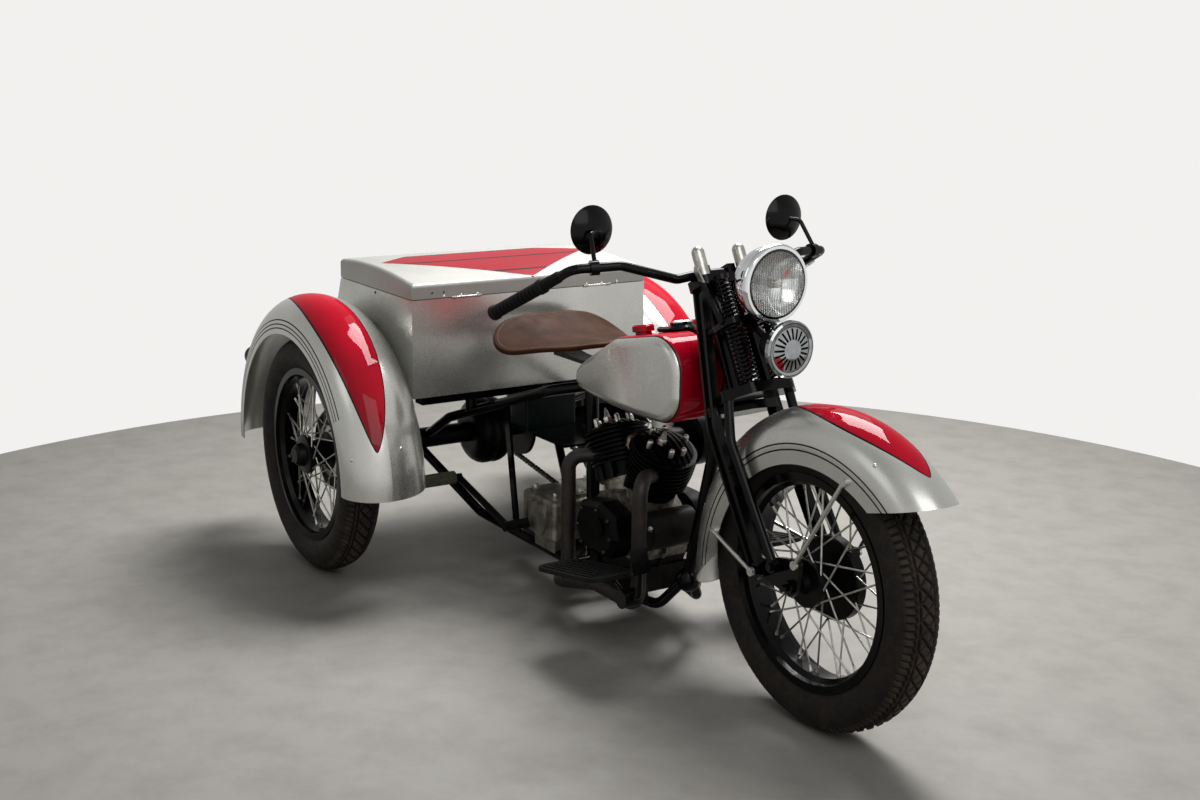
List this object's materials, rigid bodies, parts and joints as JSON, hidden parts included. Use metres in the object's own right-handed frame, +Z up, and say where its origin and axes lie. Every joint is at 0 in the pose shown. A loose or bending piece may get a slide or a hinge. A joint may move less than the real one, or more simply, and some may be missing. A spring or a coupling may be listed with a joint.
{
  "type": "motorcycle trike",
  "caption": "Three-wheeled motorcycle with a sprung front fork, a vee engine, a saddle and a lidded load box between broad rear fenders.",
  "frame": {"origin": "on the ground under the middle of the overall length, on the vehicle's centre plane", "axes": "+X forward, +Y to the rider's left, +Z up"},
  "size_m": [2.4272, 1.22, 1.1178],
  "materials": {
    "black_paint": "gloss",
    "silver_paint": "gloss",
    "cast_aluminium": "satin",
    "chrome": "polished",
    "tyre_rubber": "matte",
    "steel": "satin",
    "rubber": "matte",
    "leather": "satin",
    "glass": "clear",
    "cast_iron": "satin",
    "plastic": "satin"
  },
  "bodies": {
    "chassis": {"frame_head": "black_paint", "frame_backbone": "black_paint", "frame_seat_tube": "black_paint", "frame_lower_rails": "black_paint", "frame_rear_stays": "black_paint", "crankcase": "cast_aluminium", "timing_cover": "black_paint", "cylinders": "cast_iron", "carburettor": "cast_aluminium", "exhaust": "black_paint", "gearbox": "cast_aluminium", "primary_cover": "black_paint", "kick_starter": "steel", "fuel_tanks": "silver_paint", "instrument_panel": "silver_paint", "saddle": "leather", "saddle_post": "steel", "battery": "plastic", "footboards": "black_paint", "control_levers": "black_paint", "rear_axle": "black_paint", "drive_chain": "steel", "body_supports": "black_paint", "rear_fenders": "silver_paint", "body_floor": "silver_paint", "body_sides": "silver_paint", "body_ends": "silver_paint", "tail_lamps": "black_paint"},
    "lid": {"body_lid": "silver_paint"},
    "steering": {"fork_rigid": "black_paint", "fork_sprung": "black_paint", "fork_springs": "steel", "front_axle_and_rockers": "black_paint", "fork_caps": "chrome", "handlebar": "black_paint", "grips": "rubber", "brake_lever": "chrome", "mirrors": "black_paint", "headlamp_shell": "chrome", "headlamp_lens": "glass", "horn": "chrome", "front_fender": "silver_paint", "fender_stays": "chrome"},
    "front_wheel": {"front_tyre": "tyre_rubber", "front_rim": "black_paint", "front_hub": "steel"},
    "rear_wheel_left": {"rear_tyre_left": "tyre_rubber", "rear_rim_left": "black_paint", "rear_hub_left": "steel"},
    "rear_wheel_right": {"rear_tyre_right": "tyre_rubber", "rear_rim_right": "black_paint", "rear_hub_right": "steel"}
  },
  "joints": [
    {"name": "steering_turn", "type": "hinge", "parent": "chassis", "child": "steering", "pos_m": [0.48895, 0, 0.785], "axis": [-0.4695, 0, 0.8829], "range_deg": [-30, 30]},
    {"name": "front_wheel_spin", "type": "hinge", "parent": "steering", "child": "front_wheel", "pos_m": [0.84834, 0, 0.334], "axis": [0, 1, 0], "continuous": true},
    {"name": "rear_left_spin", "type": "hinge", "parent": "chassis", "child": "rear_wheel_left", "pos_m": [-0.70065, 0.5335, 0.334], "axis": [0, 1, 0], "continuous": true},
    {"name": "rear_right_spin", "type": "hinge", "parent": "chassis", "child": "rear_wheel_right", "pos_m": [-0.70065, -0.5335, 0.334], "axis": [0, 1, 0], "continuous": true},
    {"name": "lid_hinge", "type": "hinge", "parent": "chassis", "child": "lid", "pos_m": [-0.40965, 0, 0.798], "axis": [0, 1, 0], "range_deg": [0, 80]}
  ]
}
